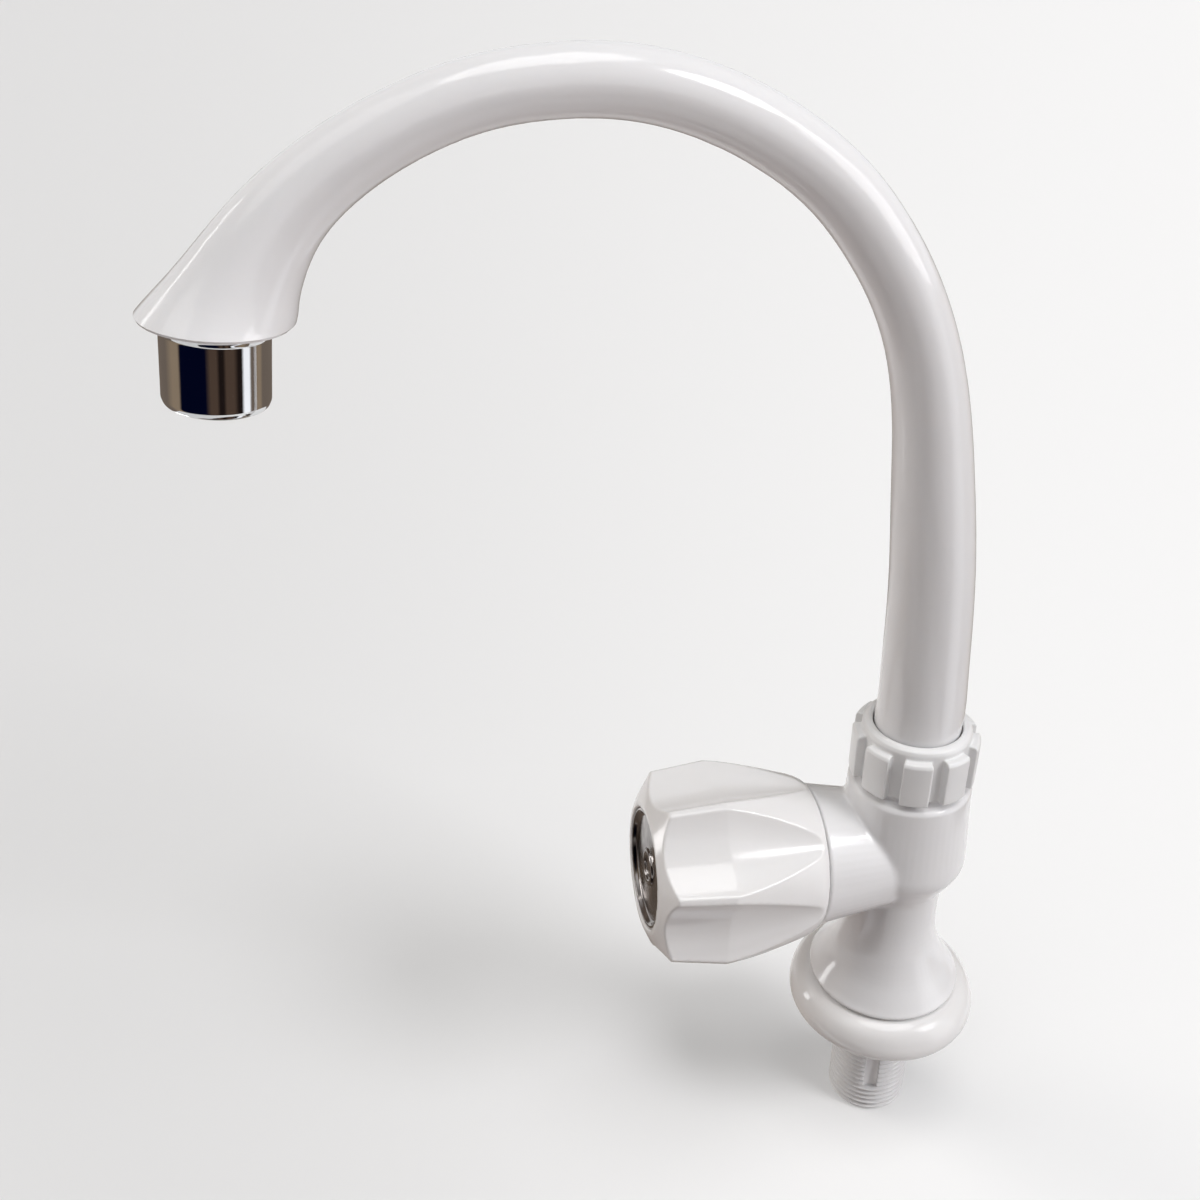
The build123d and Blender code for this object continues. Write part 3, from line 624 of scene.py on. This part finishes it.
def eased(outline, by=0.25, steps=4):
    """The closed outline with its corners rounded off, starting this far away, in mm."""
    rows = []
    for before, here, after in zip(outline[-1:] + outline[:-1], outline, outline[1:] + outline[:1]):
        if here[0] == 0:
            rows.append(here)
            continue
        here = Vector(here)
        ends = []
        for other in (Vector(before), Vector(after)):
            length = (other - here).length
            ends.append(here + (other - here) * min(by, 0.45 * length) / length)
        for step in range(steps + 1):
            t = step / steps
            rows.append(tuple(ends[0] * (1 - t) ** 2 + here * 2 * t * (1 - t) + ends[1] * t * t))
    return rows


linked("tap_body_fine", body_mesh(), "tap", "body_plastic", ["tap_body"])
linked("knob_fine", soft_copy("knob", KNOB_VOXEL, 4), "handle", "knob_plastic", ["knob"])
linked("nut_fine", soft_copy("spout_nut", NUT_VOXEL, 2), "tap", "nut_plastic", ["spout_nut"])
linked(
    "aerator_fine",
    lathe("aerator_fine", eased(AERATOR), OUTLET, OUTLET_WAY),
    "spout",
    "aerator_chrome",
    ["aerator_shell"],
)
linked(
    "cap_fine",
    lathe("cap_fine", eased(CAP), HANDLE, HANDLE_WAY),
    "handle",
    "cap_metallised",
    ["index_cap"],
)


def seen(tree):
    """1 on camera, glossy and transmission rays, 0 on the rays that light things."""
    path = tree.nodes.new("ShaderNodeLightPath")
    total = path.outputs["Is Camera Ray"]
    for name in ("Is Glossy Ray", "Is Transmission Ray"):
        add = tree.nodes.new("ShaderNodeMath")
        add.operation = "MAXIMUM"
        tree.links.new(total, add.inputs[0])
        tree.links.new(path.outputs[name], add.inputs[1])
        total = add.outputs[0]
    return total


def ground():
    """A wide pale floor under the shank's end, brighter towards the right."""
    made = bmesh.new()
    bmesh.ops.create_grid(made, x_segments=8, y_segments=8, size=FLOOR_HALF)
    mesh = as_mesh(made, "floor")
    obj = added("floor", mesh)
    obj.location = (CAMERA_PLACE.x, CAMERA_PLACE.y, cad_low.z - FLOOR_GAP)
    obj.rotation_euler.z = radians(CAMERA_HEADING)
    surface = Surface("floor", Specular_IOR_Level=0.0, Roughness=1.0)
    shown = seen(surface.tree)
    pale = surface.new("ShaderNodeMix", data_type="RGBA")
    pale.inputs["A"].default_value = (*FLOOR_BOUNCE, 1)
    pale.inputs["B"].default_value = (FLOOR_SEEN, FLOOR_SEEN, FLOOR_SEEN, 1)
    surface.link(shown, pale.inputs["Factor"])
    surface.link(pale.outputs["Result"], surface.shader.inputs["Base Color"])
    # the glow grows with the share of a place's distance that lies to the right
    raised = surface.new("ShaderNodeVectorMath", operation="ADD")
    raised.inputs[1].default_value = (0, 0, GLOW_HEIGHT)
    surface.link(surface.place, raised.inputs[0])
    way = surface.new("ShaderNodeVectorMath", operation="NORMALIZE")
    surface.link(raised.outputs[0], way.inputs[0])
    split = surface.new("ShaderNodeSeparateXYZ")
    surface.link(way.outputs[0], split.inputs[0])
    glow = surface.new("ShaderNodeMapRange", interpolation_type="SMOOTHSTEP")
    glow.inputs["From Min"].default_value = -GLOW_REACH
    glow.inputs["From Max"].default_value = GLOW_REACH
    glow.inputs["To Min"].default_value = FLOOR_GLOW[0]
    glow.inputs["To Max"].default_value = FLOOR_GLOW[1]
    surface.link(split.outputs["X"], glow.inputs["Value"])
    lit = surface.new("ShaderNodeMath", operation="MULTIPLY")
    surface.link(glow.outputs[0], lit.inputs[0])
    surface.link(shown, lit.inputs[1])
    surface.glow(1.0)
    surface.link(lit.outputs[0], surface.shader.inputs["Emission Strength"])
    mesh.materials.append(surface.material)
    obj.visible_shadow = False


def only_mirrored(obj):
    """Seen by glossy rays alone."""
    obj.visible_camera = obj.visible_diffuse = obj.visible_shadow = False
    obj.visible_transmission = obj.visible_volume_scatter = False


def surroundings():
    """A room round the outlet, with a disc under it, that only mirrors see."""
    made = bmesh.new()
    low, high = (
        circle(made, SURROUNDINGS_RADIUS, height, SURROUNDINGS_COLUMNS)
        for height in (cad_low.z, SURROUNDINGS_TOP)
    )
    wall_between(made, low, high)
    disc_radius = SURROUNDINGS_RADIUS * DISC_SHARE
    made.faces.new(circle(made, disc_radius, cad_low.z + DISC_LIFT, SURROUNDINGS_COLUMNS))
    mesh = as_mesh(made, "surroundings")
    obj = added("surroundings", mesh)
    obj.location = (OUTLET.x, OUTLET.y, 0)
    out = CAMERA_PLACE - OUTLET
    obj.rotation_euler.z = atan2(out.y, out.x)
    surface = Surface("surroundings", Base_Color=(0, 0, 0, 1), Specular_IOR_Level=0.0)
    split = surface.new("ShaderNodeSeparateXYZ")
    surface.link(surface.place, split.inputs[0])
    bearing = surface.new("ShaderNodeMath", operation="ARCTAN2")
    surface.link(split.outputs["Y"], bearing.inputs[0])
    surface.link(split.outputs["X"], bearing.inputs[1])
    share = surface.new("ShaderNodeMapRange")
    share.inputs["From Min"].default_value = -pi
    share.inputs["From Max"].default_value = pi
    surface.link(bearing.outputs[0], share.inputs["Value"])
    ramp = surface.new("ShaderNodeValToRGB")
    edges = [(turn, colour) for start, stop, colour in SURROUNDINGS for turn in (start, stop)]
    stops = ramp.color_ramp.elements
    while len(stops) < len(edges):
        stops.new(1.0)
    for stop, (turn, colour) in zip(stops, edges):
        stop.position = (turn + 180) / 360
        stop.color = (*colour, 1)
    surface.link(share.outputs[0], ramp.inputs[0])
    surface.glow(1.0)
    surface.link(ramp.outputs[0], surface.shader.inputs["Emission Color"])
    mesh.materials.append(surface.material)
    only_mirrored(obj)


def card(name, faces, height, turn, distance, wide, tall, bright):
    """A small bright panel facing a place on the tap, for the highlights."""
    way = direction(height, turn)
    made = bmesh.new()
    corners = [(-1, -1), (1, -1), (1, 1), (-1, 1)]
    made.faces.new([made.verts.new((x * wide / 2, y * tall / 2, 0)) for x, y in corners])
    mesh = as_mesh(made, name)
    obj = added(name, mesh)
    obj.location = Vector(faces) + way * distance
    obj.rotation_euler = way.to_track_quat("Z", "Y").to_euler()
    surface = Surface(name, Base_Color=(0, 0, 0, 1), Specular_IOR_Level=0.0)
    surface.glow(bright)
    mesh.materials.append(surface.material)
    only_mirrored(obj)


def arch_light():
    """A soft beam from the front that falls on the arch and fades out down the column."""
    data = bpy.data.lights.new("arch_light", "SPOT")
    data.energy = ARCH_LIGHT_WATTS
    data.spot_size = radians(ARCH_LIGHT_SPREAD)
    data.spot_blend = 1.0
    data.shadow_soft_size = ARCH_LIGHT_RADIUS
    obj = added("arch_light", data)
    obj.location = ARCH_LIGHT_PLACE
    obj.visible_glossy = False
    beam = ARCH_LIGHT_AIM - ARCH_LIGHT_PLACE
    obj.rotation_euler = beam.to_track_quat("-Z", "Y").to_euler()


def sun(name, height, turn, strength, width, colour, mirrored):
    """A distant soft lamp."""
    data = bpy.data.lights.new(name, "SUN")
    data.energy = strength
    data.angle = radians(width)
    data.color = colour
    obj = added(name, data)
    obj.rotation_euler = direction(height, turn).to_track_quat("Z", "Y").to_euler()
    obj.visible_glossy = mirrored


def world():
    """A dim even sky that shows as the pale background does."""
    made = bpy.data.worlds.new("studio")
    made.use_nodes = True
    tree = made.node_tree
    tree.nodes.clear()
    out = tree.nodes.new("ShaderNodeOutputWorld")
    back = tree.nodes.new("ShaderNodeBackground")
    back.inputs["Color"].default_value = (*SKY_COLOUR, 1)
    strength = tree.nodes.new("ShaderNodeMapRange")
    strength.inputs["To Min"].default_value = SKY_LIGHT
    strength.inputs["To Max"].default_value = SKY_SEEN
    tree.links.new(seen(tree), strength.inputs["Value"])
    tree.links.new(strength.outputs[0], back.inputs["Strength"])
    tree.links.new(back.outputs[0], out.inputs[0])
    bpy.context.scene.world = made


def camera():
    """The camera where the photograph was taken from."""
    data = bpy.data.cameras.new("camera")
    data.lens = CAMERA_LENS
    data.sensor_width = CAMERA_SENSOR
    data.clip_start = 0.01
    data.clip_end = 50.0
    obj = added("camera", data)
    turn = (
        Matrix.Rotation(radians(CAMERA_HEADING), 4, "Z")
        @ Matrix.Rotation(radians(CAMERA_PITCH), 4, "X")
        @ Matrix.Rotation(radians(CAMERA_ROLL), 4, "Z")
    )
    obj.matrix_world = Matrix.Translation(CAMERA_PLACE) @ turn
    bpy.context.scene.camera = obj


camera()
ground()
surroundings()
for row in CARDS:
    card(*row)
world()
arch_light()
for row in LAMPS:
    sun(*row)

bpy.context.scene.view_settings.view_transform = "Standard"
